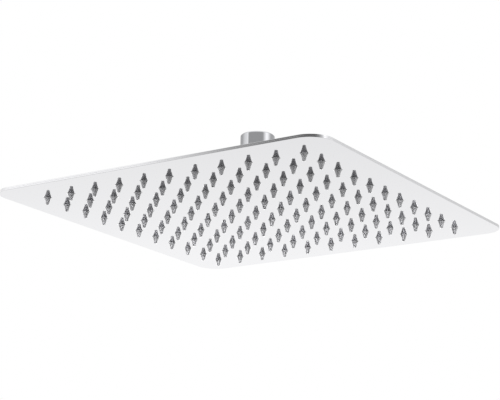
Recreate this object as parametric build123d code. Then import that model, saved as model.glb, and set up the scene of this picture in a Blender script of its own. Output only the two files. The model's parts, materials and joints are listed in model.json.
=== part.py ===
from build123d import *
import os
from math import cos, radians, sqrt, tan

# Square rain shower head: a thin plate of two steel sheets with a water chamber pressed into the
# back one, push-in silicone nozzles in rows, and an inlet that turns and tilts on a ball.
# Millimetres, +Z up. The origin is the centre of the inlet's mouth, and the plate hangs below it.

# Plate
PLATE_SIDE = 254.0
PLATE_CORNER_RADIUS = 15.0
FACE_THICKNESS = 1.0
BACK_THICKNESS = 1.0
EDGE_ROUND = 0.2

# Water chamber and dome, pressed up out of the back sheet
RIM_WIDTH = 14.0
CHAMBER_CORNER_RADIUS = 20.0
CHAMBER_RISE = 2.5
CHAMBER_DRAFT = 45.0
PRESS_RADIUS = 1.2
DOME_DIAMETER = 120.0
DOME_RISE = 3.5
CROWN_MARGIN = 3.0

# Silicone nozzles
NOZZLE_PITCH = 20.0
NOZZLE_HOLE_DIAMETER = 4.6
NOZZLE_FIT = 0.05
NOZZLE_HEAD_LIP = 0.7
NOZZLE_HEAD_HEIGHT = 0.8
NOZZLE_FOOT_LIP = 0.1
NOZZLE_FOOT_HEIGHT = 0.1
NOZZLE_FLARE_LENGTH = 4.4
NOZZLE_TIP_LENGTH = 0.4
NOZZLE_TIP_DIAMETER = 2.1
NOZZLE_TIP_BEVEL = 0.2
NOZZLE_JET_DIAMETER = 1.0

# Threaded inlet, neck and ball, one turned piece
THREAD_DIAMETER = 20.955
THREAD_DEPTH = 10.0
INLET_WALL = 1.3225
INLET_RIM_CHAMFER = 0.8
INLET_FLOOR = 3.0
WASHER_STEP = 1.0
WASHER_SEAT_DEPTH = 4.0
WRENCH_FLAT_WALL = 1.0
WRENCH_FLAT_GAP = 1.0
WATERWAY_DIAMETER = 8.5
NECK_WALL = 1.75
NECK_STRAIGHT = 2.7
BALL_DIAMETER = 20.0
TILT_LIMIT = 15.0
TILT_CLEARANCE = 0.4

# Washer and filter in the inlet
WASHER_FIT = 0.1
WASHER_THICKNESS = 2.2
WASHER_WIDTH = 3.2
FILTER_THICKNESS = 0.4
FILTER_HOLE_DIAMETER = 1.6
FILTER_HOLE_PITCH = 2.4
FILTER_RINGS = 3

# Seat and friction ring that hold the ball
BALL_CLEARANCE = 0.15
SEAT_WALL = 1.85
SEAT_FLOOR = 1.2
SEAT_BORE_MARGIN = 1.75
SEAT_RIM_DROP = 2.7
SEAT_CLEARANCE = 0.1
SEAL_THICKNESS = 1.6
SEAL_WIDTH = 4.2
RING_FOOT_RISE = 0.3
RING_TOP_RISE = 5.0
RING_FIT = 0.05

# Socket welded to the back sheet, and the collar screwed onto it
SOCKET_WALL = 2.0
SOCKET_FLOOR = 2.5
SOCKET_RIM_DROP = 2.0
SOCKET_FLANGE_THICKNESS = 2.0
SOCKET_SPIGOT_WALL = 4.5
SOCKET_SPIGOT_STANDOUT = 0.5
WELD_FIT = 0.05
WELD_LEG = 0.9
COLLAR_WALL = 3.35
COLLAR_LIP_THICKNESS = 2.2
COLLAR_ROUND = 4.0
COLLAR_FLAT_DEPTH = 1.0
COLLAR_FLAT_LENGTH = 9.0
COLLAR_FOOT_GAP = 0.3
COLLAR_THREAD_FIT = 0.05
COLLAR_THREAD_RUNOUT = 0.5

# Radii
thread_radius = THREAD_DIAMETER / 2
inlet_radius = thread_radius + INLET_WALL
washer_seat_radius = thread_radius - WASHER_STEP
waterway_radius = WATERWAY_DIAMETER / 2
neck_radius = waterway_radius + NECK_WALL
flare_radius = inlet_radius - neck_radius
ball_radius = BALL_DIAMETER / 2
cup_radius = ball_radius + BALL_CLEARANCE
seat_radius = cup_radius + SEAT_WALL
seat_bore_radius = waterway_radius + SEAT_BORE_MARGIN
socket_bore_radius = seat_radius + SEAT_CLEARANCE
socket_radius = socket_bore_radius + SOCKET_WALL
socket_passage_radius = socket_bore_radius - SEAL_WIDTH
spigot_radius = socket_passage_radius + SOCKET_SPIGOT_WALL
collar_bore_radius = socket_radius + COLLAR_THREAD_FIT
collar_radius = collar_bore_radius + COLLAR_WALL
ring_radius = seat_radius + SOCKET_WALL / 2
crown_radius = collar_radius + CROWN_MARGIN
nozzle_hole_radius = NOZZLE_HOLE_DIAMETER / 2
nozzle_head_radius = nozzle_hole_radius + NOZZLE_HEAD_LIP

# Heights, from the inlet's mouth at zero down to the plate's face
washer_floor_z = -(THREAD_DEPTH + WASHER_SEAT_DEPTH)
inlet_foot_z = washer_floor_z - INLET_FLOOR
neck_rise = sqrt(ball_radius**2 - neck_radius**2)
ball_z = inlet_foot_z - flare_radius - NECK_STRAIGHT - neck_rise
seat_foot_z = ball_z - sqrt(cup_radius**2 - seat_bore_radius**2) - SEAT_FLOOR
seat_rim_z = ball_z - SEAT_RIM_DROP
seal_top_z = seat_foot_z - SEAT_CLEARANCE
socket_floor_z = seal_top_z - SEAL_THICKNESS
crown_z = socket_floor_z - SOCKET_FLOOR
socket_rim_z = ball_z - SOCKET_RIM_DROP
flange_top_z = crown_z + SOCKET_FLANGE_THICKNESS
ring_foot_z = ball_z + RING_FOOT_RISE
ring_top_z = ball_z + RING_TOP_RISE
collar_top_z = ring_top_z + COLLAR_LIP_THICKNESS
plateau_z = crown_z - DOME_RISE
rim_top_z = plateau_z - CHAMBER_RISE
sheet_joint_z = rim_top_z - BACK_THICKNESS
face_z = sheet_joint_z - FACE_THICKNESS

# The collar's opening lets the neck lean to its limit, and the ring opens at least as wide.
tilt = radians(TILT_LIMIT)
collar_opening_radius = (collar_top_z - ball_z) * tan(tilt) + neck_radius / cos(tilt) + TILT_CLEARANCE

# Chamber: the sheet's underside runs parallel to its top, so its corners move in by the bend's share.
chamber_half = PLATE_SIDE / 2 - RIM_WIDTH
chamber_lean = CHAMBER_RISE * tan(radians(CHAMBER_DRAFT))
bend_shift = BACK_THICKNESS * tan(radians(90 - CHAMBER_DRAFT) / 2)
roof_half = chamber_half - chamber_lean - bend_shift
roof_corner_radius = CHAMBER_CORNER_RADIUS - chamber_lean - bend_shift

# As many nozzles a side as fit under the chamber's roof, corner ones included.
nozzle_reach = roof_half - roof_corner_radius + (roof_corner_radius - nozzle_head_radius) / sqrt(2)
nozzles_per_side = int(2 * nozzle_reach / NOZZLE_PITCH) + 1
nozzle_rows = [(row - (nozzles_per_side - 1) / 2) * NOZZLE_PITCH for row in range(nozzles_per_side)]


def turned(outline):
    """Solid turned about Z from a closed outline in the XZ plane."""
    return revolve(make_face(outline.edges()), Axis.Z)


def turned_corners(*corners):
    """Solid turned about Z from (radius, height) corners."""
    return turned(Polyline(*[(radius, 0, z) for radius, z in corners], close=True))


def rounded_square(half, corner_radius):
    return RectangleRounded(2 * half, 2 * half, corner_radius)


def lying_at(items, z):
    """Those of the edges or faces that lie at one height."""
    return items.filter_by_position(Axis.Z, z - 0.001, z + 0.001)


def wrench_flats(half_width, radius, low_z, high_z):
    """The two slices that leave a pair of flats on a round body."""
    depth = radius - half_width
    block = Box(2 * radius, depth, high_z - low_z, align=(Align.CENTER, Align.MIN, Align.MIN))
    near = Pos(0, half_width, low_z) * block
    return near + mirror(near, Plane.XZ)


def make_face_plate():
    """Flat steel sheet with a round hole for each nozzle and a softened lower edge."""
    holes = GridLocations(NOZZLE_PITCH, NOZZLE_PITCH, nozzles_per_side, nozzles_per_side)
    sheet = rounded_square(PLATE_SIDE / 2, PLATE_CORNER_RADIUS) - holes * Circle(nozzle_hole_radius)
    plate = extrude(Pos(0, 0, face_z) * sheet, FACE_THICKNESS)
    outside = plate.faces().sort_by(Axis.Z)[0].outer_wire().edges()
    return fillet(outside, EDGE_ROUND)


def dome(foot_z, rise_z, top_z):
    """Shallow dish that leaves the plateau and reaches the crown level, down to a foot below both."""
    foot_radius = DOME_DIAMETER / 2
    slope = Spline(
        (crown_radius, 0, top_z),
        (foot_radius, 0, rise_z),
        tangents=((1, 0, 0), (1, 0, 0)),
    )
    walls = Polyline((foot_radius, 0, rise_z), (foot_radius, 0, foot_z), (0, 0, foot_z), (0, 0, top_z))
    return turned(walls + Line((0, 0, top_z), (crown_radius, 0, top_z)) + slope)


def make_back_plate():
    """Sheet with a flat rim, a square chamber pressed up inside it and a dome up to the inlet."""
    sheet = Pos(0, 0, sheet_joint_z) * rounded_square(PLATE_SIDE / 2, PLATE_CORNER_RADIUS)
    rim = extrude(sheet, BACK_THICKNESS)
    rim = fillet(lying_at(rim.edges(), rim_top_z), EDGE_ROUND)
    raised = Pos(0, 0, rim_top_z) * rounded_square(chamber_half, CHAMBER_CORNER_RADIUS)
    outside = rim + extrude(raised, CHAMBER_RISE, taper=CHAMBER_DRAFT)
    outside = fillet(lying_at(outside.edges(), plateau_z), PRESS_RADIUS + BACK_THICKNESS)
    foot = lying_at(outside.faces(), rim_top_z)[0].inner_wires()[0]
    outside = fillet(foot.edges(), PRESS_RADIUS)
    outside += dome(rim_top_z, plateau_z, crown_z)

    hollow = Pos(0, 0, sheet_joint_z) * rounded_square(
        chamber_half - bend_shift, CHAMBER_CORNER_RADIUS - bend_shift
    )
    inside = extrude(hollow, CHAMBER_RISE, taper=CHAMBER_DRAFT)
    inside = fillet(lying_at(inside.edges(), plateau_z - BACK_THICKNESS), PRESS_RADIUS)
    inside += dome(sheet_joint_z, plateau_z - BACK_THICKNESS, crown_z - BACK_THICKNESS)
    inlet_hole = Pos(0, 0, crown_z) * Cylinder(spigot_radius + WELD_FIT, 4 * BACK_THICKNESS)
    return outside - inside - inlet_hole


def make_nozzle():
    """Push-in nozzle: a head inside the sheet, a plug in its hole, a foot that laps the hole's edge,
    a hollow flare that runs out into the short tip, bored for the jet."""
    plug = nozzle_hole_radius - NOZZLE_FIT
    foot = nozzle_hole_radius + NOZZLE_FOOT_LIP
    tip = NOZZLE_TIP_DIAMETER / 2
    jet = NOZZLE_JET_DIAMETER / 2
    head_top_z = FACE_THICKNESS + NOZZLE_HEAD_HEIGHT
    flare_end_z = -NOZZLE_FLARE_LENGTH
    tip_z = flare_end_z - NOZZLE_TIP_LENGTH
    body = Polyline(
        (tip, 0, flare_end_z),
        (tip, 0, tip_z + NOZZLE_TIP_BEVEL),
        (tip - NOZZLE_TIP_BEVEL, 0, tip_z),
        (jet, 0, tip_z),
        (jet, 0, head_top_z),
        (nozzle_head_radius, 0, head_top_z),
        (nozzle_head_radius, 0, FACE_THICKNESS),
        (plug, 0, FACE_THICKNESS),
        (plug, 0, 0),
        (foot, 0, 0),
        (foot, 0, -NOZZLE_FOOT_HEIGHT),
    )
    flare = TangentArc((tip, 0, flare_end_z), (foot, 0, -NOZZLE_FOOT_HEIGHT), tangent=(0, 0, 1))
    return turned(body + flare)


def make_nozzle_row(y):
    """One row of separate nozzles, side by side along X."""
    nozzle = make_nozzle()
    return Compound([Pos(x, y, face_z) * nozzle for x in nozzle_rows])


def make_ball_inlet():
    """Turned brass: threaded socket with a washer seat, flared neck and ball, bored for the water."""
    waterway_foot_z = ball_z - sqrt(ball_radius**2 - waterway_radius**2)
    neck_top_z = inlet_foot_z - flare_radius
    flare_share = flare_radius / sqrt(2)
    outside = Polyline(
        (thread_radius, 0, 0),
        (inlet_radius - INLET_RIM_CHAMFER, 0, 0),
        (inlet_radius, 0, -INLET_RIM_CHAMFER),
        (inlet_radius, 0, inlet_foot_z),
    )
    flare = ThreePointArc(
        (inlet_radius, 0, inlet_foot_z),
        (inlet_radius - flare_share, 0, neck_top_z + flare_share),
        (neck_radius, 0, neck_top_z),
    )
    neck = Line((neck_radius, 0, neck_top_z), (neck_radius, 0, ball_z + neck_rise))
    ball = ThreePointArc(
        (neck_radius, 0, ball_z + neck_rise),
        (ball_radius, 0, ball_z),
        (waterway_radius, 0, waterway_foot_z),
    )
    bore = Polyline(
        (waterway_radius, 0, waterway_foot_z),
        (waterway_radius, 0, washer_floor_z),
        (washer_seat_radius, 0, washer_floor_z),
        (washer_seat_radius, 0, -THREAD_DEPTH),
        (thread_radius, 0, -THREAD_DEPTH),
        (thread_radius, 0, 0),
    )
    flats = wrench_flats(
        washer_seat_radius + WRENCH_FLAT_WALL,
        inlet_radius,
        inlet_foot_z,
        -(THREAD_DEPTH + WRENCH_FLAT_GAP),
    )
    return turned(outside + flare + neck + ball + bore) - flats


def make_filter_screen():
    """Thin steel disc on the washer seat's floor, drilled in rings round a middle hole."""
    rings = range(1, FILTER_RINGS)
    disc = Circle(washer_seat_radius - WASHER_FIT) - Circle(FILTER_HOLE_DIAMETER / 2)
    for ring in rings:
        disc -= PolarLocations(ring * FILTER_HOLE_PITCH, 6 * ring) * Circle(FILTER_HOLE_DIAMETER / 2)
    return extrude(Pos(0, 0, washer_floor_z) * disc, FILTER_THICKNESS)


def make_inlet_washer():
    """Flat rubber ring on the filter, which the pipe's end presses on."""
    outer = washer_seat_radius - WASHER_FIT
    foot = washer_floor_z + FILTER_THICKNESS
    top = foot + WASHER_THICKNESS
    inner = outer - WASHER_WIDTH
    return turned_corners((inner, foot), (outer, foot), (outer, top), (inner, top))


def make_ball_seat():
    """Plastic cup under the ball, with its top hollowed to the ball and a bore for the water."""
    ring = turned_corners(
        (seat_bore_radius, seat_foot_z),
        (seat_radius, seat_foot_z),
        (seat_radius, seat_rim_z),
        (seat_bore_radius, seat_rim_z),
    )
    return ring - Pos(0, 0, ball_z) * Sphere(cup_radius)


def make_friction_ring():
    """Plastic ring over the ball's shoulder, held down by the collar's lip."""
    ring = turned_corners(
        (collar_opening_radius, ring_foot_z),
        (ring_radius, ring_foot_z),
        (ring_radius, ring_top_z),
        (collar_opening_radius, ring_top_z),
    )
    return ring - Pos(0, 0, ball_z) * Sphere(cup_radius)


def make_seat_seal():
    """Flat rubber ring between the ball seat and the socket's floor."""
    outer = socket_bore_radius - SEAT_CLEARANCE
    return turned_corners(
        (socket_passage_radius, socket_floor_z),
        (outer, socket_floor_z),
        (outer, seal_top_z),
        (socket_passage_radius, seal_top_z),
    )


def make_head_socket():
    """Turned socket: flange with its weld to the dome, spigot through it, threaded cup for the seat."""
    spigot_foot_z = crown_z - BACK_THICKNESS - SOCKET_SPIGOT_STANDOUT
    return turned_corners(
        (socket_passage_radius, spigot_foot_z),
        (spigot_radius, spigot_foot_z),
        (spigot_radius, crown_z),
        (collar_radius + WELD_LEG, crown_z),
        (collar_radius, crown_z + WELD_LEG),
        (collar_radius, flange_top_z),
        (socket_radius, flange_top_z),
        (socket_radius, socket_rim_z),
        (socket_bore_radius, socket_rim_z),
        (socket_bore_radius, socket_floor_z),
        (socket_passage_radius, socket_floor_z),
    )


def make_collar():
    """Domed ring nut that screws onto the socket and holds the ball in, with two wrench flats."""
    foot_z = flange_top_z + COLLAR_FOOT_GAP
    thread_top_z = socket_rim_z + COLLAR_THREAD_RUNOUT
    pocket_radius = ring_radius + RING_FIT
    body = turned_corners(
        (collar_bore_radius, foot_z),
        (collar_radius, foot_z),
        (collar_radius, collar_top_z),
        (collar_opening_radius, collar_top_z),
        (collar_opening_radius, ring_top_z),
        (pocket_radius, ring_top_z),
        (pocket_radius, thread_top_z),
        (collar_bore_radius, thread_top_z),
    )
    shoulder = lying_at(body.edges(), collar_top_z).sort_by(SortBy.RADIUS)[-1]
    body = fillet(shoulder, COLLAR_ROUND)
    body -= Pos(0, 0, ball_z) * Sphere(cup_radius)
    flat_half = collar_radius - COLLAR_FLAT_DEPTH
    return body - wrench_flats(flat_half, collar_radius, foot_z, foot_z + COLLAR_FLAT_LENGTH)


def main():
    pieces = {
        "ball_inlet": make_ball_inlet(),
        "inlet_washer": make_inlet_washer(),
        "filter_screen": make_filter_screen(),
        "ball_seat": make_ball_seat(),
        "friction_ring": make_friction_ring(),
        "seat_seal": make_seat_seal(),
        "collar_nut": make_collar(),
        "head_socket": make_head_socket(),
        "back_plate": make_back_plate(),
        "face_plate": make_face_plate(),
    }
    for number, y in enumerate(nozzle_rows, 1):
        pieces[f"nozzle_row_{number:02d}"] = make_nozzle_row(y)
    os.makedirs("parts", exist_ok=True)
    for name, piece in pieces.items():
        export_step(piece, f"parts/{name}.step")
    print(f"{nozzles_per_side} nozzles a side, ball centre {ball_z:.3f}, plate face {face_z:.3f}")


main()
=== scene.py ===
import json
import math

import bpy
import numpy as np
from bpy.props import FloatProperty, FloatVectorProperty, IntProperty, PointerProperty
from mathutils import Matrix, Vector

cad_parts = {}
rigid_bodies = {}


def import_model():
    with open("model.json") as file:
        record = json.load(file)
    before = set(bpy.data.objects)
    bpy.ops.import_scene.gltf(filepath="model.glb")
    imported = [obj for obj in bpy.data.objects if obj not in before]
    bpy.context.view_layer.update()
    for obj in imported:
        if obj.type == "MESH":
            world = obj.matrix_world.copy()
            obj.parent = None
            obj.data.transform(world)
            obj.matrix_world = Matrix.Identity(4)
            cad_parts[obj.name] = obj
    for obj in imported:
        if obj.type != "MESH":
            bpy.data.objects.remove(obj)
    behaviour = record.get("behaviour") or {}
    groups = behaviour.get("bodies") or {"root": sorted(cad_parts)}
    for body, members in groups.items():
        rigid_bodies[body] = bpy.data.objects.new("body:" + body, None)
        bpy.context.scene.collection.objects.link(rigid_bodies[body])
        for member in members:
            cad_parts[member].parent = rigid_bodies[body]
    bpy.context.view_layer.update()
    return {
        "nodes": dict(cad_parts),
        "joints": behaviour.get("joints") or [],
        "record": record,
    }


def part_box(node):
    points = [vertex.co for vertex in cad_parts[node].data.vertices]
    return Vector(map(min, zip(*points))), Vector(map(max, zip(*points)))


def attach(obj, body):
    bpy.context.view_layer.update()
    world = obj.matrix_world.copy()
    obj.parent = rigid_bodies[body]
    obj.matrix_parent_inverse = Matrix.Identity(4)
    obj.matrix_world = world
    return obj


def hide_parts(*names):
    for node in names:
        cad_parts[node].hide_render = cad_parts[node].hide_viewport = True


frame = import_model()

bl_info = {
    "name": "Rain shower head",
    "version": (1, 0, 0),
    "blender": (4, 5, 0),
    "location": "View3D > Sidebar > Rain head",
    "description": "Square rain shower head: polished sheets, silicone nozzles and a ball-joint inlet",
    "category": "Object",
}

MM = 0.001
# Points nearer than SAME_POINT are one. A HAIR above and below the end of a flat keeps the cut crisp.
SAME_POINT = 1e-8
HAIR = 0.01 * MM

# What the frame gives: the sheets' levels, the nozzle rows, the turned pieces and the inlet's thread.
PLATE_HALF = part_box("face_plate")[1].x
FACE_Z, JOINT_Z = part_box("face_plate")[0].z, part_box("face_plate")[1].z
CROWN_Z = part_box("back_plate")[1].z
BALL_Z = frame["joints"][0]["pos_m"][2]
INLET_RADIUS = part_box("ball_inlet")[1].x
COLLAR_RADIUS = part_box("collar_nut")[1].x
COLLAR_FOOT_Z, COLLAR_TOP_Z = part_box("collar_nut")[0].z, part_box("collar_nut")[1].z
SOCKET_FOOT_Z, SOCKET_RIM_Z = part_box("head_socket")[0].z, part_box("head_socket")[1].z
SEAL_FOOT_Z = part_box("seat_seal")[0].z
SEAT_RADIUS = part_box("ball_seat")[1].x
RING_RADIUS, RING_TOP_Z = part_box("friction_ring")[1].x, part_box("friction_ring")[1].z
THREAD_RADIUS = frame["record"]["mounts"][0]["dims"]["r_mm"] * MM
THREAD_DEPTH = frame["record"]["mounts"][0]["dims"]["length_mm"] * MM
ROWS = sorted(node for node in frame["nodes"] if node.startswith("nozzle_row_"))
ROW_Y = np.array([(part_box(node)[0].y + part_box(node)[1].y) / 2 for node in ROWS])
PITCH = (ROW_Y[-1] - ROW_Y[0]) / (len(ROWS) - 1)
HEAD_RADIUS = (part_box(ROWS[0])[1].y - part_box(ROWS[0])[0].y) / 2
TIP_Z, HEAD_TOP_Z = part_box(ROWS[0])[0].z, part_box(ROWS[0])[1].z

# Steps along the curves that have no count of their own to set.
DOME_STEPS, STRAIGHT_STEPS = 24, 16
TIP_STEPS, THREAD_STEPS, BALL_STEPS, THROAT_STEPS = 2, 63, 40, 16
WELD_STEPS, WELD_FINENESS = 6, 4

# Angles in degrees: the start of every loop in plan, the slope of the pressed step, the end of the tip's
# rounding, and the end of the neck's throat, just short of the inlet's foot.
LOOP_START, PRESS_SLOPE, TIP_END, THROAT_END = -45, 45, -30, 94

# The part of a pitch at each end of the thread that has no ridge.
THREAD_CLEAR = 0.2

# Noise seldom leaves NOISE_SPAN. The mould's grain has a strength for its bump, and a depth as a share
# of its width.
NOISE_SPAN = (0.3, 0.7)
GRAIN_STRENGTH, GRAIN_DEPTH = 0.1, 0.1

# The studio: lengths in metres, powers in watts, turns in degrees round Z and grey levels.
# The floor's painted glow, which only mirrors see, goes by the way ahead of the camera: painted light
# ahead, painted shade on the camera's side. The haze goes by the distance from the middle.
PAINTED_FLOOR_LEVELS = [(-1.0, 0.2), (-0.5, 0.2), (0.2, 0.85), (2.1, 0.87), (2.7, 0.94), (3.2, 1.0)]
HAZE_SPAN = (3.0, 11.0)
WALL_LEVELS = [
    (-180, 0.44), (-158, 0.71), (-142, 0.87), (-134, 0.87), (-126, 0.82),
    (-112, 0.40), (-30, 0.44), (-10, 0.75), (6, 1.25), (16, 1.15),
    (38, 0.55), (52, 0.45), (60, 0.44), (84, 0.50), (180, 0.44),
]
OVERHEAD_LEVEL, OVERHEAD_SPAN = 0.9, (0.45, 0.9)

# Each card's arc, its heights, its levels by turn and its least levels by height.
CARD_RADIUS, CARD_STEPS = 1.05, 29
NO_TIERS = [(0, 0), (1, 0)]
CARDS = {
    "dark_card": (
        (-130, -4),
        (0.06, 1.6),
        [
            (-130, 1.05), (-124, 1.0), (-120.5, 0.66), (-118, 0.4), (-113, 0.12),
            (-40, 0.09), (-25, 0.3), (-14, 0.6), (-4, 1.0),
        ],
        [(0.24, 0.09), (0.31, 0.38)],
    ),
    "left_card": (
        (-230, -130),
        (0.06, 0.3),
        [(-180, 0.92), (-150, 0.95), (-134, 1.08), (-126, 1.05), (180, 0.92)],
        NO_TIERS,
    ),
    "right_card": (
        (18, 100),
        (0.06, 0.3),
        [(18, 0.9), (44, 0.85), (50, 0.76), (62, 0.69), (100, 0.66)],
        NO_TIERS,
    ),
}

# The lamps. Turns count from the camera's side, and drops from the plate's face.
SOFTBOX_PLACE, SOFTBOX_SIZE, SOFTBOX_POWER = (-0.6, 0.3, 1.6), (1.4, 1.4), 30.0
GLOSS_TURNS = (-78, 0, 78, 180)
GLOSS_REACH, GLOSS_DROP, GLOSS_SIZE, GLOSS_POWER = 0.8, 0.11, (1.3, 0.4), 23.0
FILL_REACH, FILL_DROP, FILL_SIZE, FILL_POWER = 0.16, 0.09, (0.4, 0.08), 0.6
FILL_AIM_BACK, FILL_AIM_RIGHT, FILL_SPREAD = 0.25, 0.06, 46
SENSOR_WIDTH = 36.0


def linear(code):
    """sRGB hex to linear RGBA: the curve's power part, or its straight foot for dark values."""
    srgb = np.array([int(code[place : place + 2], 16) for place in (1, 3, 5)]) / 255
    light = np.where(srgb > 0.04045, ((srgb + 0.055) / 1.055) ** 2.4, srgb / 12.92)
    return (*light.tolist(), 1.0)


def length(name, description, millimetres):
    """A length to set, with its default in millimetres."""
    return FloatProperty(
        name=name, description=description, default=millimetres * MM, precision=5, unit="LENGTH"
    )


def colour(name, description, code):
    """A colour to set, with its default as sRGB hex."""
    return FloatVectorProperty(
        name=name, description=description, default=linear(code), size=4, min=0, max=1, subtype="COLOR"
    )


def steps(name, description, count):
    """A count of steps to set."""
    return IntProperty(name=name, description=description, default=count, min=4)


class RainHeadSheets(bpy.types.PropertyGroup):
    """Sizes of the two steel sheets."""

    gauge: length("Gauge", "Thickness of each sheet", 1.0)
    corner_radius: length("Corner radius", "Radius of the plate's corners in plan", 15.0)
    edge_round: length("Edge round", "Softened outer edge of each sheet", 0.2)
    seam_bevel: length("Seam bevel", "Fine bevel where the two sheets meet", 0.08)
    hole_radius: length("Nozzle hole", "Radius of each nozzle's hole", 2.3)
    rim_width: length("Rim width", "Flat rim round the pressed chamber", 14.0)
    chamber_corner: length("Chamber corner", "Radius of the chamber's corners in plan", 20.0)
    chamber_rise: length("Chamber rise", "Height of the chamber's sloping step", 2.5)
    press_radius: length("Press radius", "Inner radius of each pressed bend", 1.2)
    dome_radius: length("Dome radius", "Where the dome leaves the chamber's roof", 60.0)
    dome_rise: length("Dome rise", "Height of the dome above the chamber's roof", 3.5)
    crown_margin: length("Crown margin", "Flat left round the welded socket", 3.0)
    inlet_hole: length("Inlet hole", "Radius of the hole for the socket's spigot", 12.45)
    cell_steps: steps("Cell steps", "Steps along each side of a nozzle's cell", 6)
    corner_steps: steps("Corner steps", "Steps round half of a corner", 8)


class RainHeadNozzles(bpy.types.PropertyGroup):
    """Sizes of the silicone nozzles."""

    plug_radius: length("Plug radius", "Part that fills the hole", 2.25)
    foot_radius: length("Foot radius", "Foot that laps the hole's edge", 2.8)
    foot_height: length("Foot height", "How far the foot stands off the sheet", 0.2)
    flare_radius: length("Flare radius", "Wide end of the flare, on the foot", 2.35)
    flare_power: FloatProperty(name="Flare power", description="How hollow the flare is", default=1.5)
    tip_radius: length("Tip radius", "Outside of the tip's end", 1.05)
    tip_round: length("Tip round", "Rounded end of the tip", 0.2)
    jet_radius: length("Jet radius", "Bore of the jet", 0.5)
    flare_steps: steps("Flare steps", "Steps along the hollow flare", 5)
    segments: steps("Segments", "Steps round each nozzle", 12)


class RainHeadJoint(bpy.types.PropertyGroup):
    """Sizes of the inlet, ball, collar and socket."""

    thread_pitch: length("Thread pitch", "Lead of the pipe thread, fourteen to the inch", 1.814)
    thread_height: length("Thread height", "How far the ridge stands in from the bore's wall", 1.16)
    rim_chamfer: length("Rim chamfer", "Bevel round the inlet's mouth", 0.8)
    edge_break: length("Edge break", "Softened edge of a turned piece", 0.2)
    washer_radius: length("Washer seat", "Radius of the washer's seat", 9.4775)
    washer_floor: length("Washer floor", "Depth of the washer seat's floor", 14.0)
    inlet_length: length("Inlet length", "Length of the inlet's cylinder", 17.0)
    waterway_radius: length("Waterway", "Radius of the water's bore", 4.25)
    neck_radius: length("Neck radius", "Radius of the neck above the ball", 6.0)
    ball_radius: length("Ball radius", "Radius of the ball", 10.0)
    cup_radius: length("Cup radius", "Radius that clears the ball", 10.15)
    inlet_flat: length("Inlet flat", "Half the width across the inlet's wrench flats", 10.4775)
    inlet_flat_top: length("Inlet flat top", "Depth of the flats' upper end", 11.0)
    collar_bore: length("Collar bore", "Radius of the collar's threaded bore", 14.15)
    collar_opening: length("Collar opening", "Radius that the neck leans in", 8.541)
    collar_round: length("Collar round", "Domed shoulder of the collar", 4.0)
    collar_flat: length("Collar flat", "Half the width across the collar's wrench flats", 16.5)
    collar_flat_length: length("Collar flat length", "Height of the collar's wrench flats", 9.0)
    pocket_fit: length("Pocket fit", "Room round the friction ring", 0.05)
    thread_runout: length("Thread run-out", "Room above the socket's rim", 0.5)
    socket_radius: length("Socket radius", "Outside of the socket's threaded cup", 14.1)
    seat_fit: length("Seat fit", "Room round the ball seat", 0.1)
    socket_passage: length("Socket passage", "Radius of the water's way through the socket", 7.9)
    spigot_radius: length("Spigot radius", "Part of the socket that fills the sheet's hole", 12.4)
    flange: length("Flange", "Thickness of the socket's flange", 2.0)
    weld_leg: length("Weld leg", "Width and height of the weld round the flange", 0.9)
    weld_ripple: length("Weld ripple", "Height of the weld's ripples", 0.06)
    segments: steps("Segments", "Steps round each turned piece", 96)


class RainHeadFinishes(bpy.types.PropertyGroup):
    """Colours of the finishes."""

    steel: colour("Steel", "Mirror-polished stainless steel", "#F0F0F2")
    chrome: colour("Chrome", "Chrome plate on brass", "#E2E3E6")
    weld: colour("Weld", "Brushed weld metal", "#B9B9BC")
    screen: colour("Screen", "Plain rolled stainless steel", "#BDBDC0")
    silicone: colour("Silicone", "Moulded silicone", "#2A2A2D")
    bloom: colour("Bloom", "Paler skin on the silicone", "#333336")
    rubber: colour("Rubber", "Moulded rubber", "#262627")
    rubber_dust: colour("Rubber dust", "Greyer skin on the rubber", "#343435")
    acetal: colour("Acetal", "Moulded acetal", "#E4E3DC")
    acetal_shade: colour("Acetal shade", "Flow marks in the acetal", "#D8D6CC")


class RainHeadStage(bpy.types.PropertyGroup):
    """The floor, the lamps, the studio round them and the camera."""

    floor_drop: length("Floor drop", "Height of the inlet's mouth above the floor", 800.0)
    floor_half: length("Floor half", "Half the width of the floor", 15000.0)
    floor: colour("Floor", "Pale studio floor", "#F2F2F2")
    soft_light: FloatProperty(
        name="Soft light", description="Level of the plain light all round", default=0.75
    )
    lens: FloatProperty(name="Lens", description="Focal length in mm, on a 36 mm sensor", default=115.48)
    camera_place: FloatVectorProperty(
        name="Camera place",
        description="Where the camera stands",
        default=(0.583333, -0.878641, -0.341511),
        subtype="TRANSLATION",
    )
    camera_turn: FloatVectorProperty(
        name="Camera turn",
        description="How the camera is turned",
        default=[math.radians(angle) for angle in (105.648, -1.2078, 33.476)],
        subtype="EULER",
    )


def softened(corners, reaches, blend_steps=6, guard=0.04 * MM):
    """Open outline with soft corners. Each corner between the ends becomes a quadratic blend,
    (1-t)^2 a + 2t(1-t) corner + t^2 b, where a and b lie one reach before and after it.
    A guard point just outside each end of the blend keeps the straight runs flat to the eye."""
    corners = np.asarray(corners, float)
    reach = np.asarray(reaches, float)[:, None]
    middle = corners[1:-1]
    back, ahead = corners[:-2] - middle, corners[2:] - middle
    back /= np.linalg.norm(back, axis=1, keepdims=True)
    ahead /= np.linalg.norm(ahead, axis=1, keepdims=True)
    t = np.linspace(0, 1, blend_steps + 1)[None, :, None]
    blend = (1 - t) ** 2 * (middle + reach * back)[:, None] + 2 * t * (1 - t) * middle[:, None]
    blend = blend + t**2 * (middle + reach * ahead)[:, None]
    before = (middle + (reach + guard) * back)[:, None]
    after = (middle + (reach + guard) * ahead)[:, None]
    runs = np.concatenate([before, blend, after], axis=1).reshape(-1, 2)
    return np.concatenate([corners[:1], runs, corners[-1:]])


def arc(centre, radius, start, end, count):
    """Points on a circle in the profile's plane, from one angle in degrees to another."""
    angle = np.radians(np.linspace(start, end, count + 1))
    return np.asarray(centre) + radius * np.column_stack([np.cos(angle), np.sin(angle)])


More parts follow.
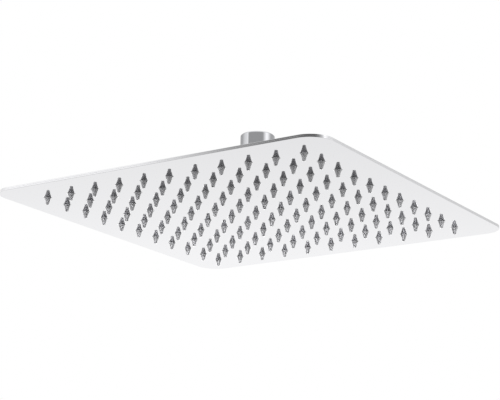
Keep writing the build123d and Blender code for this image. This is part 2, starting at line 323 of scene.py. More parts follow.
def turned(profile, segments):
    """Grid of a (radius, height) profile carried round Z: (r cos a, r sin a, z)."""
    angle = np.linspace(0, 2 * np.pi, segments, endpoint=False)
    radius, height = profile[:, 0, None], profile[:, 1, None]
    return np.stack([radius * np.cos(angle), radius * np.sin(angle), height + 0 * angle], axis=-1)


def cut_flats(grid, half_width, low, high):
    """Wrench flats: between two heights, every point is brought in to half_width along Y."""
    beside = (grid[..., 2] > low) & (grid[..., 2] < high)
    grid[..., 1] = np.where(beside, np.clip(grid[..., 1], -half_width, half_width), grid[..., 1])


def grid_quads(rows, columns, wrap_rows=True):
    """Corner numbers of the quads on a grid that closes round its columns, and its rows if asked."""
    row = np.arange(rows if wrap_rows else rows - 1)[:, None]
    column = np.arange(columns)[None, :]
    above, beside = (row + 1) % rows, (column + 1) % columns
    corners = [row * columns + column, row * columns + beside, above * columns + beside]
    corners.append(above * columns + column)
    return np.stack(np.broadcast_arrays(*corners), axis=-1).reshape(-1, 4)


def four_sides(x, y):
    """One side's points, turned by quarter turns to all four, as loops of (x, y)."""
    turns = [(x, y), (-y, x), (-x, -y), (y, -x)]
    return np.concatenate([np.stack(np.broadcast_arrays(*turn), axis=-1) for turn in turns], axis=-2)


def even_square(half, side_steps):
    """Sharp square as one loop of evenly spaced points, from its corner at +X -Y."""
    along = np.linspace(-half, half, side_steps + 1)[None, :-1]
    return four_sides(np.full_like(along, half), along)


def rounded_squares(half, corner, side_steps, corner_steps):
    """Rounded squares, one loop for each half and corner radius, from the corner's middle at +X -Y.
    Each side is half an arc, an evenly divided straight run and half an arc."""
    half, corner = np.asarray(half, float)[:, None], np.asarray(corner, float)[:, None]
    bend = np.radians(np.linspace(LOOP_START, 0, corner_steps + 1))[None]
    straight = np.linspace(-1, 1, side_steps - 2 * corner_steps + 1)[None, 1:-1]
    centre = half - corner
    across, along = centre + corner * np.cos(bend), centre - corner * np.sin(bend)
    x = np.concatenate([across, half + 0 * straight, across[:, :0:-1]], axis=1)
    y = np.concatenate([-along, straight * centre, along[:, :0:-1]], axis=1)
    return four_sides(x, y)


def circles(radius, side_steps):
    """Circles with as many points and the same start as the squares of those side steps."""
    angle = np.radians(LOOP_START + np.linspace(0, 360, 4 * side_steps, endpoint=False))
    radius = np.asarray(radius, float)[:, None]
    return np.stack([radius * np.cos(angle), radius * np.sin(angle)], axis=-1)


def lifted(loops, heights):
    """Loops in plan, each given its height."""
    heights = np.broadcast_to(np.asarray(heights, float)[:, None, None], (*loops.shape[:2], 1))
    return np.concatenate([loops, heights], axis=-1)


def mesh_object(name, points, faces, material):
    """Object at the origin, in the scene, from arrays of points and lists of faces."""
    mesh = bpy.data.meshes.new(name)
    mesh.from_pydata(points.tolist(), [], faces)
    mesh.materials.append(material)
    piece = bpy.data.objects.new(name, mesh)
    bpy.context.scene.collection.objects.link(piece)
    return piece


def make_piece(name, points, quads, material, body, nodes=(), sharp_degrees=24.0):
    """Piece from arrays. Equal points are merged, quads that lose a side become triangles or go, and
    all faces are turned outwards by the sign of the volume that they close."""
    points = points.reshape(-1, 3)
    places = np.round(points / SAME_POINT)
    _, first, number = np.unique(places, axis=0, return_index=True, return_inverse=True)
    points, quads = points[first], number.reshape(-1)[quads]
    p, q, r, s = (points[quads[:, corner]] for corner in range(4))
    volume = np.einsum("ij,ij->i", p, np.cross(q, r)) + np.einsum("ij,ij->i", p, np.cross(r, s))
    if volume.sum() < 0:
        quads = quads[:, ::-1]
    kept = quads != np.roll(quads, 1, axis=1)
    faces = [quad[keep].tolist() for quad, keep in zip(quads, kept) if keep.sum() > 2]
    piece = mesh_object(name, points, faces, material)
    piece.data.shade_smooth()
    piece.data.set_sharp_from_angle(angle=math.radians(sharp_degrees))
    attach(piece, body)
    if nodes:
        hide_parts(*nodes)


def make_turned(name, grid, material, body, nodes=()):
    """Piece from one grid that closes both ways."""
    make_piece(name, grid, grid_quads(*grid.shape[:2]), material, body, nodes)


def add(tree, kind, inputs=None, **settings):
    """Adds a node with its settings. An input is a value to set, or another node's output to link."""
    node = tree.nodes.new(kind)
    for name, value in settings.items():
        setattr(node, name, value)
    for socket, value in (inputs or {}).items():
        if isinstance(value, bpy.types.NodeSocket):
            tree.links.new(value, node.inputs[socket])
        else:
            node.inputs[socket].default_value = value
    return node


def stretched(tree, value, span, low=0.0, high=1.0):
    """A value's span, stretched to run from low to high and held level past both ends."""
    limits = {"Value": value, "From Min": span[0], "From Max": span[1], "To Min": low, "To Max": high}
    return add(tree, "ShaderNodeMapRange", limits).outputs[0]


def worked(tree, operation, first, second):
    """Result of an operation on two values."""
    return add(tree, "ShaderNodeMath", {0: first, 1: second}, operation=operation).outputs[0]


def blended(tree, share, first, second):
    """Blend of two colours: all the first at a share of zero, all the second at one.
    The colour form of the node has its colours in sockets 6 and 7 and its result in output 2."""
    return add(tree, "ShaderNodeMix", {0: share, 6: first, 7: second}, data_type="RGBA").outputs[2]


def grey(level):
    """Neutral colour of a level."""
    return (level, level, level, 1)


def new_material(name, **sockets):
    """Material with its Principled shader's constant sockets set, ready for its pattern."""
    material = bpy.data.materials.new(name)
    material.use_nodes = True
    tree = material.node_tree
    shader = tree.nodes["Principled BSDF"]
    for socket, value in sockets.items():
        shader.inputs[socket.replace("_", " ").title()].default_value = value
    material.diffuse_color = sockets["base_color"]
    return material, tree, shader, add(tree, "ShaderNodeTexCoord").outputs["Object"]


def noise_between(tree, place, scale, low, high):
    """Noise of a scale, a number or one for each axis, spread from low to high."""
    scale = scale if isinstance(scale, tuple) else (scale,) * 3
    scaled = add(tree, "ShaderNodeMapping", {"Vector": place, "Scale": scale}).outputs[0]
    noise = add(tree, "ShaderNodeTexNoise", {"Vector": scaled, "Scale": 1.0}).outputs[0]
    return stretched(tree, noise, NOISE_SPAN, low, high)


def polished_steel(finishes):
    """Stainless sheet buffed to a mirror: bright and neutral, a little hazy along the buffing."""
    material, tree, shader, place = new_material(
        "mirror_polished_stainless", base_color=finishes.steel, metallic=1.0
    )
    # Buffing lines are a few hundredths of a millimetre wide; drawn 1 mm wide and 80 mm long to show.
    scale = (1 / (80 * MM), 1 / MM, 1 / MM)
    lines = noise_between(tree, place, scale, low=0.03, high=0.07)
    tree.links.new(lines, shader.inputs["Roughness"])
    return material


def chrome_plate(finishes):
    """Chrome on turned brass: a hard mirror, with the lathe's rings faint in its gloss."""
    material, tree, shader, place = new_material(
        "chrome_plated_brass", base_color=finishes.chrome, metallic=1.0
    )
    # Turning marks are about 0.1 mm apart; drawn 0.5 mm apart along the axis, and 125 mm long, to show.
    scale = (1 / (125 * MM), 1 / (125 * MM), 1 / (0.5 * MM))
    rings = noise_between(tree, place, scale, low=0.04, high=0.09)
    tree.links.new(rings, shader.inputs["Roughness"])
    return material


def brushed_weld(finishes):
    """Weld metal brushed over: satin, with fine brush lines across the bead."""
    material, tree, shader, place = new_material(
        "brushed_stainless_weld", base_color=finishes.weld, metallic=1.0
    )
    # Brush lines of about 0.2 mm.
    lines = noise_between(tree, place, 1 / (0.2 * MM), low=0.22, high=0.38)
    tree.links.new(lines, shader.inputs["Roughness"])
    return material


def rolled_screen(finishes):
    """Thin rolled stainless: a dull sheen with the rolling's grain one way."""
    material, tree, shader, place = new_material(
        "rolled_stainless_screen", base_color=finishes.screen, metallic=1.0
    )
    # Rolling grain 0.1 mm wide; drawn 0.25 mm wide and 6 mm long to show.
    scale = (1 / (6 * MM), 1 / (0.25 * MM), 1 / (0.25 * MM))
    grain = noise_between(tree, place, scale, low=0.2, high=0.4)
    tree.links.new(grain, shader.inputs["Roughness"])
    return material


def polymer(name, base, shade, roughness, patch, grain):
    """Moulded polymer: two near colours in soft patches, with the mould's fine grain as bump."""
    material, tree, shader, place = new_material(name, base_color=base, roughness=roughness)
    patches = noise_between(tree, place, 1 / patch, low=0.0, high=1.0)
    tree.links.new(blended(tree, patches, base, shade), shader.inputs["Base Color"])
    height = noise_between(tree, place, 1 / grain, low=0.0, high=1.0)
    depth = {"Height": height, "Strength": GRAIN_STRENGTH, "Distance": GRAIN_DEPTH * grain}
    bump = add(tree, "ShaderNodeBump", depth)
    tree.links.new(bump.outputs[0], shader.inputs["Normal"])
    return material


def moulded_silicone(finishes):
    """Silicone from a satin mould: soft grey, a broad sheen, a faint uneven bloom on the skin."""
    return polymer(
        "moulded_silicone",
        finishes.silicone,
        finishes.bloom,
        roughness=0.55,
        patch=1.5 * MM,
        grain=0.3 * MM,
    )


def moulded_rubber(finishes):
    """Synthetic rubber from a plain mould: near black, dull, slightly dusty."""
    return polymer(
        "moulded_rubber",
        finishes.rubber,
        finishes.rubber_dust,
        roughness=0.7,
        patch=2.0 * MM,
        grain=0.25 * MM,
    )


def moulded_acetal(finishes):
    """Acetal from a smooth mould: off-white, waxy, with faint flow marks."""
    return polymer(
        "moulded_acetal",
        finishes.acetal,
        finishes.acetal_shade,
        roughness=0.35,
        patch=4.0 * MM,
        grain=0.4 * MM,
    )


FINISHES = {
    "mirror_polished_stainless": polished_steel,
    "chrome_plated_brass": chrome_plate,
    "brushed_stainless_weld": brushed_weld,
    "rolled_stainless_screen": rolled_screen,
    "moulded_silicone": moulded_silicone,
    "moulded_rubber": moulded_rubber,
    "moulded_acetal": moulded_acetal,
}


def finish(name):
    """The finish of that name, made the first time that it is asked for."""
    return bpy.data.materials.get(name) or FINISHES[name](bpy.context.scene.rain_head_finishes)


def face_sheet(sheets):
    """Flat sheet: square cells with a round hole each, inside a band that runs out to the edge.
    A cell's rows go from its square outline to the hole, through it and back out on the other side.
    The band's rows go from the cells' outer edge over the softened outline and back the same way."""
    side, count = sheets.cell_steps, len(ROWS)
    outline = even_square(PITCH / 2, side)
    hole = circles([sheets.hole_radius], side)
    cell = lifted(np.concatenate([outline, hole, hole, outline]), [FACE_Z, FACE_Z, JOINT_Z, JOINT_Z])
    places = np.stack([*np.meshgrid(ROW_Y, ROW_Y), np.zeros((count, count))], axis=-1)
    cells = (places.reshape(-1, 1, 1, 3) + cell).reshape(-1, 3)
    cell_quads = grid_quads(*cell.shape[:2], wrap_rows=False)
    first = np.arange(count * count)[:, None, None] * (cell.shape[0] * cell.shape[1])
    quads = (first + cell_quads).reshape(-1, 4)

    block = count * PITCH / 2
    edge = softened(
        [(block, FACE_Z), (PLATE_HALF, FACE_Z), (PLATE_HALF, JOINT_Z), (block, JOINT_Z)],
        [sheets.edge_round, sheets.seam_bevel],
    )
    half = edge[1:-1, 0]
    corner = half - PLATE_HALF + sheets.corner_radius
    loops = rounded_squares(half, corner, count * side, sheets.corner_steps)
    inner = even_square(block, count * side)
    band = lifted(np.concatenate([inner, loops, inner]), edge[:, 1])
    band_quads = grid_quads(*band.shape[:2], wrap_rows=False) + len(cells)
    return np.concatenate([cells, band.reshape(-1, 3)]), np.concatenate([quads, band_quads])


def back_sheet(sheets):
    """Pressed sheet as one closed run of loops: circles from the inlet hole down the dome, rounded
    squares over the chamber's step and the rim, and the same way back on the underside. The dome's
    slope is a smooth step, rise (1 - 3s^2 + 2s^3), where s goes from the crown to the dome's foot."""
    side = 2 * sheets.corner_steps + STRAIGHT_STEPS
    gauge = sheets.gauge
    rim_top = JOINT_Z + gauge
    roof = rim_top + sheets.chamber_rise
    crown_radius = COLLAR_RADIUS + sheets.crown_margin
    s = np.linspace(0, 1, DOME_STEPS + 1)
    radius = crown_radius + s * (sheets.dome_radius - crown_radius)
    slope = np.column_stack([radius, roof + sheets.dome_rise * (1 - 3 * s**2 + 2 * s**3)])
    dome = np.concatenate([[(sheets.inlet_hole, CROWN_Z)], slope])
    foot = PLATE_HALF - sheets.rim_width
    shoulder = foot - sheets.chamber_rise
    bend = math.tan(math.radians(PRESS_SLOPE) / 2)
    # Flat runs that keep the shading of the bends and the edge apart.
    roof_run, foot_run, edge_run = 8 * gauge, 4 * gauge, 3 * gauge
    step = softened(
        [(shoulder - roof_run, roof), (shoulder, roof), (foot, rim_top), (foot + foot_run, rim_top)],
        [(sheets.press_radius + gauge) * bend, sheets.press_radius * bend],
    )
    rim = softened(
        [
            (PLATE_HALF - edge_run, rim_top),
            (PLATE_HALF, rim_top),
            (PLATE_HALF, JOINT_Z),
            (foot + gauge, JOINT_Z),
        ],
        [sheets.edge_round, sheets.seam_bevel],
    )
    under = np.array([(foot - bend * gauge, JOINT_Z), (shoulder - bend * gauge, roof - gauge)])
    chamber_centre = foot - sheets.chamber_corner
    plate_centre = PLATE_HALF - sheets.corner_radius

    def squares(profile, centre):
        """Loops of a (half width, height) profile, with their corners round a centre in plan."""
        loops = rounded_squares(profile[:, 0], profile[:, 0] - centre, side, sheets.corner_steps)
        return lifted(loops, profile[:, 1])

    top = lifted(circles(dome[:, 0], side), dome[:, 1])
    underside = top[::-1] - (0, 0, gauge)
    rows = [top, squares(step, chamber_centre), squares(rim, plate_centre)]
    return np.concatenate(rows + [squares(under, chamber_centre), underside])


def nozzle_profile(nozzles, gauge):
    """Closed section of one nozzle. From the jet's end it goes round the tip, up the hollow flare, over
    the foot, through the hole, round the head inside the sheet and back down the jet. The flare's
    radius is tip + (wide - tip) s^power, where s goes from 0 at the tip's rounding to 1 at the foot."""
    s = np.linspace(0, 1, nozzles.flare_steps + 1)
    low, high = TIP_Z + nozzles.tip_round, FACE_Z - nozzles.foot_height
    radius = nozzles.tip_radius + (nozzles.flare_radius - nozzles.tip_radius) * s**nozzles.flare_power
    flare = np.column_stack([radius, low + (high - low) * s])
    tip_centre = (nozzles.tip_radius - nozzles.tip_round, low)
    rounding = arc(tip_centre, nozzles.tip_round, -90, TIP_END, TIP_STEPS)
    inside = [
        (nozzles.foot_radius, FACE_Z),
        (nozzles.plug_radius, FACE_Z),
        (nozzles.plug_radius, FACE_Z + gauge),
        (HEAD_RADIUS, FACE_Z + gauge),
        (HEAD_RADIUS, HEAD_TOP_Z),
        (nozzles.jet_radius, HEAD_TOP_Z),
    ]
    return np.concatenate([[(nozzles.jet_radius, TIP_Z)], rounding, flare, inside])


def nozzle_row(nozzles, gauge, y):
    """A row of turned nozzles, one at each pitch along X."""
    nozzle = turned(nozzle_profile(nozzles, gauge), nozzles.segments)
    places = np.column_stack([ROW_Y, np.full_like(ROW_Y, y), np.zeros_like(ROW_Y)])
    points = places[:, None, None] + nozzle
    first = np.arange(len(places))[:, None, None] * (nozzle.shape[0] * nozzle.shape[1])
    return points, (first + grid_quads(*nozzle.shape[:2])).reshape(-1, 4)


def ball_inlet(joint):
    """Turned inlet: threaded socket, washer seat, waterway, ball, neck and flare in one profile.
    In the socket the radius is drawn in by the thread: height (1 - cos 2 pi (z / pitch - a / 2 pi)) / 2,
    with a the angle round the axis, fading out at both ends. Two wrench flats are cut near its foot."""
    foot, floor = -joint.inlet_length, -joint.washer_floor
    flare = INLET_RADIUS - joint.neck_radius
    neck_top = foot - flare
    lead_in = joint.rim_chamfer / 2
    depth = np.linspace(-lead_in, -THREAD_DEPTH + lead_in, THREAD_STEPS + 1)
    thread = np.column_stack([np.full_like(depth, THREAD_RADIUS), depth])
    seat = softened(
        [
            (THREAD_RADIUS, -THREAD_DEPTH + lead_in / 2),
            (THREAD_RADIUS, -THREAD_DEPTH),
            (joint.washer_radius, -THREAD_DEPTH),
            (joint.washer_radius, floor),
            (joint.waterway_radius, floor),
            (joint.waterway_radius, BALL_Z),
        ],
        [joint.edge_break / 2, joint.edge_break, joint.edge_break / 2, joint.edge_break],
    )
    low = -math.degrees(math.acos(joint.waterway_radius / joint.ball_radius))
    high = math.degrees(math.acos(joint.neck_radius / joint.ball_radius))
    ball = arc((0, BALL_Z), joint.ball_radius, low, high, BALL_STEPS)
    throat = arc((INLET_RADIUS, neck_top), flare, 180, THROAT_END, THROAT_STEPS)
    outside = softened(
        [
            throat[-1],
            (INLET_RADIUS, foot),
            (INLET_RADIUS, -joint.inlet_flat_top - HAIR),
            (INLET_RADIUS, -joint.inlet_flat_top + HAIR),
            (INLET_RADIUS, -joint.rim_chamfer),
            (INLET_RADIUS - joint.rim_chamfer, 0),
            (THREAD_RADIUS, 0),
            (THREAD_RADIUS, -lead_in),
        ],
        [joint.edge_break, 0, 0, joint.edge_break, joint.edge_break, joint.edge_break / 2],
        guard=HAIR / 4,
    )
    grid = turned(np.concatenate([thread, seat, ball, throat[:-1], outside]), joint.segments)
    angle = np.linspace(0, 1, joint.segments, endpoint=False)
    ridge = 0.5 - 0.5 * np.cos(2 * np.pi * (depth[:, None] / joint.thread_pitch - angle))
    from_end = np.minimum(-depth, THREAD_DEPTH + depth) / joint.thread_pitch
    fade = np.clip(from_end - THREAD_CLEAR, 0, 1)[:, None]
    grid[: len(depth), :, :2] *= (1 - joint.thread_height / THREAD_RADIUS * ridge * fade)[..., None]
    cut_flats(grid, joint.inlet_flat, foot - HAIR, -joint.inlet_flat_top)
    return grid


def collar_nut(joint):
    """Turned collar: domed shoulder, opening for the neck, pocket for the friction ring, wide bore.
    Two wrench flats are cut above its foot."""
    flat_top = COLLAR_FOOT_Z + joint.collar_flat_length
    pocket = RING_RADIUS + joint.pocket_fit
    clear = joint.cup_radius
    lip_radius = math.sqrt(clear**2 - (RING_TOP_Z - BALL_Z) ** 2)
    lip_z = BALL_Z + math.sqrt(clear**2 - joint.collar_opening**2)
    bore_top = SOCKET_RIM_Z + joint.thread_runout
    profile = softened(
        [
            (joint.collar_bore, BALL_Z),
            (joint.collar_bore, COLLAR_FOOT_Z),
            (COLLAR_RADIUS, COLLAR_FOOT_Z),
            (COLLAR_RADIUS, flat_top - HAIR),
            (COLLAR_RADIUS, flat_top + HAIR),
            (COLLAR_RADIUS, COLLAR_TOP_Z),
            (joint.collar_opening, COLLAR_TOP_Z),
            (joint.collar_opening, lip_z),
            (lip_radius, RING_TOP_Z),
            (pocket, RING_TOP_Z),
            (pocket, bore_top),
            (joint.collar_bore, bore_top),
        ],
        [joint.edge_break, joint.edge_break, 0, 0, joint.collar_round, joint.edge_break, 0, 0, 0, 0],
        blend_steps=10,
        guard=HAIR / 4,
    )
    grid = turned(profile, joint.segments)
    cut_flats(grid, joint.collar_flat, COLLAR_FOOT_Z - HAIR, flat_top)
    return grid


def head_socket(joint):
    """Turned socket: spigot, flange and cup."""
    flange_top = CROWN_Z + joint.flange
    bore = SEAT_RADIUS + joint.seat_fit
    profile = softened(
        [
            (joint.socket_passage, SEAL_FOOT_Z - joint.edge_break),
            (joint.socket_passage, SOCKET_FOOT_Z),
            (joint.spigot_radius, SOCKET_FOOT_Z),
            (joint.spigot_radius, CROWN_Z),
            (COLLAR_RADIUS, CROWN_Z),
            (COLLAR_RADIUS, flange_top),
            (joint.socket_radius, flange_top),
            (joint.socket_radius, SOCKET_RIM_Z),
            (bore, SOCKET_RIM_Z),
            (bore, SEAL_FOOT_Z),
            (joint.socket_passage, SEAL_FOOT_Z),
        ],
        [joint.edge_break] * 2 + [0, 0] + [joint.edge_break] * 4 + [0],
    )
    return turned(profile, joint.segments)


def socket_weld(joint):
    """Hollow weld round the flange's foot: a quarter arc from its wall to the sheet, rippled by
    |sin| of many waves round the ring."""
    leg, segments = joint.weld_leg, WELD_FINENESS * joint.segments
    hollow = arc((COLLAR_RADIUS + leg, CROWN_Z + leg), leg, 180, 270, WELD_STEPS)
    grid = turned(np.concatenate([hollow, [(COLLAR_RADIUS, CROWN_Z)]]), segments)
    waves = np.abs(np.sin(np.linspace(0, joint.segments * np.pi, segments, endpoint=False)))
    swell = np.concatenate([np.sin(np.linspace(0, np.pi, len(hollow))), [0]])[:, None] * waves
    grid[..., :2] *= (1 + joint.weld_ripple / COLLAR_RADIUS * swell)[..., None]
    return grid


class RAINHEAD_OT_face_sheet(bpy.types.Operator):
    """Builds the polished face sheet with its nozzle holes"""

    bl_idname = "rain_head.face_sheet"
    bl_label = "Face sheet"

    def execute(self, context):
        points, quads = face_sheet(context.scene.rain_head_sheets)
        steel = finish("mirror_polished_stainless")
        make_piece("face_sheet", points, quads, steel, "head", ["face_plate"])
        return {"FINISHED"}


class RAINHEAD_OT_back_sheet(bpy.types.Operator):
    """Builds the pressed back sheet with its chamber and dome"""

    bl_idname = "rain_head.back_sheet"
    bl_label = "Back sheet"

    def execute(self, context):
        grid = back_sheet(context.scene.rain_head_sheets)
        steel = finish("mirror_polished_stainless")
        make_turned("back_sheet", grid, steel, "head", ["back_plate"])
        return {"FINISHED"}


class RAINHEAD_OT_nozzles(bpy.types.Operator):
    """Builds the rows of silicone nozzles"""

    bl_idname = "rain_head.nozzles"
    bl_label = "Nozzles"

    def execute(self, context):
        scene = context.scene
        silicone = finish("moulded_silicone")
        for node, y in zip(ROWS, ROW_Y):
            points, quads = nozzle_row(scene.rain_head_nozzles, scene.rain_head_sheets.gauge, y)
            name = node.replace("nozzle", "silicone_nozzle")
            make_piece(name, points, quads, silicone, "head", [node], sharp_degrees=40)
        return {"FINISHED"}


class RAINHEAD_OT_inlet(bpy.types.Operator):
    """Builds the threaded inlet with its neck and ball"""

    bl_idname = "rain_head.inlet"
    bl_label = "Ball inlet"

    def execute(self, context):
        grid = ball_inlet(context.scene.rain_head_joint)
        chrome = finish("chrome_plated_brass")
        make_turned("threaded_inlet", grid, chrome, "inlet", ["ball_inlet"])
        return {"FINISHED"}


class RAINHEAD_OT_collar(bpy.types.Operator):
    """Builds the collar, the socket under it and the weld round the socket"""

    bl_idname = "rain_head.collar"
    bl_label = "Collar and socket"

    def execute(self, context):
        joint = context.scene.rain_head_joint
        chrome, steel = finish("chrome_plated_brass"), finish("mirror_polished_stainless")
        weld = finish("brushed_stainless_weld")
        collar, socket = collar_nut(joint), head_socket(joint)
        make_turned("domed_collar", collar, chrome, "head", ["collar_nut"])
        make_turned("flanged_socket", socket, steel, "head", ["head_socket"])
        make_turned("socket_weld", socket_weld(joint), weld, "head")
        return {"FINISHED"}


class RAINHEAD_OT_seals(bpy.types.Operator):
    """Gives the washer, screen, seat, ring and seal their finishes"""

    bl_idname = "rain_head.seals"
    bl_label = "Seals and screen"

    def execute(self, context):
        finishes = {
            "inlet_washer": "moulded_rubber",
            "seat_seal": "moulded_rubber",
            "ball_seat": "moulded_acetal",
            "friction_ring": "moulded_acetal",
            "filter_screen": "rolled_stainless_screen",
        }
        for node, name in finishes.items():
            frame["nodes"][node].material_slots[0].material = finish(name)
        return {"FINISHED"}


def shades(tree, value, stops):
    """Grey levels along a value: (value, level) stops from low to high, blended between."""
    low, high = stops[0][0], stops[-1][0]
    band = add(tree, "ShaderNodeValToRGB", {0: stretched(tree, value, (low, high))})
    elements = band.color_ramp.elements
    # The first two stops are there already. A new one starts in the middle, and is set in its turn.
    for _ in stops[2:]:
        elements.new(0.5)
    for element, (place, level) in zip(elements, stops):
        element.position = (place - low) / (high - low)
        element.color = grey(level)
    return band.outputs[0]


def shades_round(tree, direction, stops):
    """Grey levels by the turn round Z of a place or a direction, with the stops in degrees."""
    x, y, _ = add(tree, "ShaderNodeSeparateXYZ", {0: direction}).outputs
    turn = worked(tree, "ARCTAN2", y, x)
    return shades(tree, turn, [(math.radians(angle), level) for angle, level in stops])


def height_of(tree, direction):
    """Height of a place or a direction."""
    return add(tree, "ShaderNodeSeparateXYZ", {0: direction}).outputs["Z"]


def glow(tree, level):
    """Surface that gives off a level of light."""
    return add(tree, "ShaderNodeEmission", {"Color": level}).outputs[0]


def set_surface(tree, surface):
    """Makes a shader the material's surface."""
    tree.links.new(surface, tree.nodes["Material Output"].inputs["Surface"])


def mirrored(tree, path):
    """One for a ray that comes by a mirror or through glass, and zero for any other."""
    return worked(tree, "MAXIMUM", path.outputs["Is Glossy Ray"], path.outputs["Is Transmission Ray"])


def studio_floor(stage):
    """One large pale square that fades to white far off, so that no horizon shows. Mirrors see a glow
    painted
    as a lit floor: painted light ahead, and painted shade that is greyer on the camera's side."""
    material, tree, shader, place = new_material("pale_floor", base_color=stage.floor, roughness=0.9)
    path = add(tree, "ShaderNodeLightPath")
    towards = Vector((*stage.camera_place[:2], 0)).normalized()
    ahead = add(tree, "ShaderNodeVectorMath", {0: place, 1: -towards}, operation="DOT_PRODUCT")
    # Painted light and shade for mirrors only: a glow that is white ahead and greyer on the camera's
    # side.
    painted_floor_light = glow(tree, shades(tree, ahead.outputs["Value"], PAINTED_FLOOR_LEVELS))
    distance = add(tree, "ShaderNodeVectorMath", {0: place}, operation="LENGTH").outputs["Value"]
    haze = worked(tree, "MULTIPLY", stretched(tree, distance, HAZE_SPAN), path.outputs["Is Camera Ray"])
    white = glow(tree, grey(1))
    plain = add(tree, "ShaderNodeMixShader", {0: haze, 1: shader.outputs[0], 2: white})
    seen = add(tree, "ShaderNodeMixShader", {0: mirrored(tree, path), 1: plain.outputs[0], 2: painted_floor_light})
    set_surface(tree, seen.outputs[0])
    square = lifted(even_square(stage.floor_half, 1), [-stage.floor_drop])
    mesh_object("floor", square.reshape(-1, 3), [[0, 1, 2, 3]], material)


def curved_card(name, turns, heights, ends, tiers):
    """Card round the object that only mirrors see. (r cos a, r sin a, z) over an arc of angles and two
    heights. Its grey level goes by the angle, but is never under the level for its height."""
    material, tree, _, place = new_material(name, base_color=grey(0))
    by_height = shades(tree, height_of(tree, place), tiers)
    set_surface(tree, glow(tree, worked(tree, "MAXIMUM", by_height, shades_round(tree, place, ends))))
    angle = np.radians(np.linspace(*turns, CARD_STEPS + 1))
    x, y = CARD_RADIUS * np.cos(angle), CARD_RADIUS * np.sin(angle)
    grid = np.stack(np.broadcast_arrays(x, y, np.array(heights)[:, None]), axis=-1)
    column = np.arange(CARD_STEPS)
    above = column + len(angle)
    faces = np.column_stack([column, column + 1, above + 1, above])
    card = mesh_object(name, grid.reshape(-1, 3), faces.tolist(), material)
    card.visible_camera = card.visible_diffuse = card.visible_shadow = card.visible_transmission = False


def studio_cards():
    """A dark card on the camera's side, dark low down in its middle, grey above and pale at both ends,
    and a low pale card at each side of it, which only the plate's edge mirrors."""
    for name, (turns, heights, ends, tiers) in CARDS.items():
        curved_card(name, turns, heights, ends, tiers)


def studio_world(stage):
    """White to the camera, plain soft light to matt surfaces, and to mirrors the walls of a studio:
    a bright panel to the camera's left and right, grey elsewhere, pale overhead."""
    world = bpy.data.worlds.new("studio")
    bpy.context.scene.world = world
    world.use_nodes = True
    tree = world.node_tree
    path = add(tree, "ShaderNodeLightPath")
    direction = add(tree, "ShaderNodeTexCoord").outputs["Generated"]
    overhead = stretched(tree, height_of(tree, direction), OVERHEAD_SPAN)
    studio = blended(tree, overhead, shades_round(tree, direction, WALL_LEVELS), grey(OVERHEAD_LEVEL))
    unseen = blended(tree, mirrored(tree, path), grey(stage.soft_light), studio)
    seen = blended(tree, path.outputs["Is Camera Ray"], unseen, grey(1))
    tree.links.new(seen, tree.nodes["Background"].inputs["Color"])


def soft_lamp(name, place, aim, size, power):
    """Area lamp that looks at a point and hides from the camera."""
    lamp = bpy.data.lights.new(name, "AREA")
    lamp.shape, lamp.energy = "RECTANGLE", power
    lamp.size, lamp.size_y = size
    holder = bpy.data.objects.new(name, lamp)
    holder.location = place
    holder.rotation_euler = (Vector(aim) - Vector(place)).to_track_quat("-Z", "Y").to_euler()
    holder.visible_camera = False
    bpy.context.scene.collection.objects.link(holder)
    return holder


def nozzle_gloss(stage, nozzles):
    """Low soft lamps on all four sides, which give only the nozzles their sheen: on the mirror beside
    them they would show as bright lines. A small gridded lamp lifts the rows far from the camera."""
    lit = bpy.data.collections.new("nozzle_gloss")
    for nozzle in nozzles:
        lit.objects.link(nozzle)
    front = math.atan2(stage.camera_place[1], stage.camera_place[0])
    aim = Vector((0, 0, FACE_Z - GLOSS_DROP))
    for number, turn in enumerate(GLOSS_TURNS):
        angle = front + math.radians(turn)
        place = aim + GLOSS_REACH * Vector((math.cos(angle), math.sin(angle), 0))
        lamp = soft_lamp(f"nozzle_gloss_{number}", place, aim, GLOSS_SIZE, GLOSS_POWER)
        lamp.visible_diffuse = False
        lamp.light_linking.receiver_collection = lit
    towards = Vector((math.cos(front), math.sin(front), 0))
    right = Vector((-math.sin(front), math.cos(front), 0))
    place = FILL_REACH * towards + Vector((0, 0, FACE_Z - FILL_DROP))
    aim = Vector((0, 0, FACE_Z)) - FILL_AIM_BACK * towards + FILL_AIM_RIGHT * right
    fill = soft_lamp("far_fill", place, aim, FILL_SIZE, FILL_POWER)
    fill.data.spread = math.radians(FILL_SPREAD)
    fill.light_linking.receiver_collection = lit


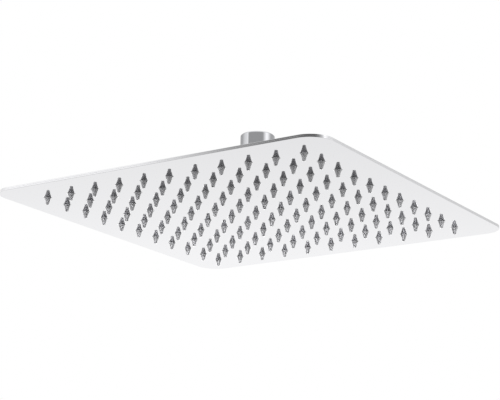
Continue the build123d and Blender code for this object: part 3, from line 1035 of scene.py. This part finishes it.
class RAINHEAD_OT_stage(bpy.types.Operator):
    """Sets up the floor, the lamps, the studio round them and the camera"""

    bl_idname = "rain_head.stage"
    bl_label = "Stage"

    def execute(self, context):
        scene, stage = context.scene, context.scene.rain_head_stage
        studio_floor(stage)
        studio_world(stage)
        studio_cards()
        softbox = soft_lamp("overhead_softbox", SOFTBOX_PLACE, (0, 0, 0), SOFTBOX_SIZE, SOFTBOX_POWER)
        softbox.visible_glossy = False
        nozzles = [piece for piece in scene.objects if piece.name.startswith("silicone_nozzle")]
        nozzle_gloss(stage, nozzles)
        lens = bpy.data.cameras.new("camera")
        lens.lens, lens.sensor_width = stage.lens, SENSOR_WIDTH
        camera = bpy.data.objects.new("camera", lens)
        camera.location, camera.rotation_euler = stage.camera_place, stage.camera_turn
        scene.collection.objects.link(camera)
        scene.camera = camera
        scene.view_settings.view_transform = "Standard"
        return {"FINISHED"}


OPERATORS = (
    RAINHEAD_OT_face_sheet,
    RAINHEAD_OT_back_sheet,
    RAINHEAD_OT_nozzles,
    RAINHEAD_OT_inlet,
    RAINHEAD_OT_collar,
    RAINHEAD_OT_seals,
    RAINHEAD_OT_stage,
)
GROUPS = {
    "rain_head_sheets": RainHeadSheets,
    "rain_head_nozzles": RainHeadNozzles,
    "rain_head_joint": RainHeadJoint,
    "rain_head_finishes": RainHeadFinishes,
    "rain_head_stage": RainHeadStage,
}


class RAINHEAD_PT_panel(bpy.types.Panel):
    """Lists the shower head's pieces and their sizes"""

    bl_idname = "RAINHEAD_PT_panel"
    bl_label = "Rain shower head"
    bl_space_type = "VIEW_3D"
    bl_region_type = "UI"
    bl_category = "Rain head"

    def draw(self, context):
        """A button for each operator, then the values of each group."""
        for operator in OPERATORS:
            self.layout.operator(operator.bl_idname)
        for name in GROUPS:
            group = getattr(context.scene, name)
            box = self.layout.box()
            for value in group.__annotations__:
                box.prop(group, value)


def register():
    """Adds the groups, operators and panel."""
    for group in GROUPS.values():
        bpy.utils.register_class(group)
    for name, group in GROUPS.items():
        setattr(bpy.types.Scene, name, PointerProperty(type=group))
    for item in (*OPERATORS, RAINHEAD_PT_panel):
        bpy.utils.register_class(item)


def unregister():
    """Takes the panel, operators and groups out again."""
    for item in (RAINHEAD_PT_panel, *reversed(OPERATORS)):
        bpy.utils.unregister_class(item)
    for name in GROUPS:
        delattr(bpy.types.Scene, name)
    for group in GROUPS.values():
        bpy.utils.unregister_class(group)


def main():
    """Builds every piece and the stage."""
    register()
    bpy.ops.rain_head.face_sheet()
    bpy.ops.rain_head.back_sheet()
    bpy.ops.rain_head.nozzles()
    bpy.ops.rain_head.inlet()
    bpy.ops.rain_head.collar()
    bpy.ops.rain_head.seals()
    bpy.ops.rain_head.stage()


if __name__ == "__main__":
    main()
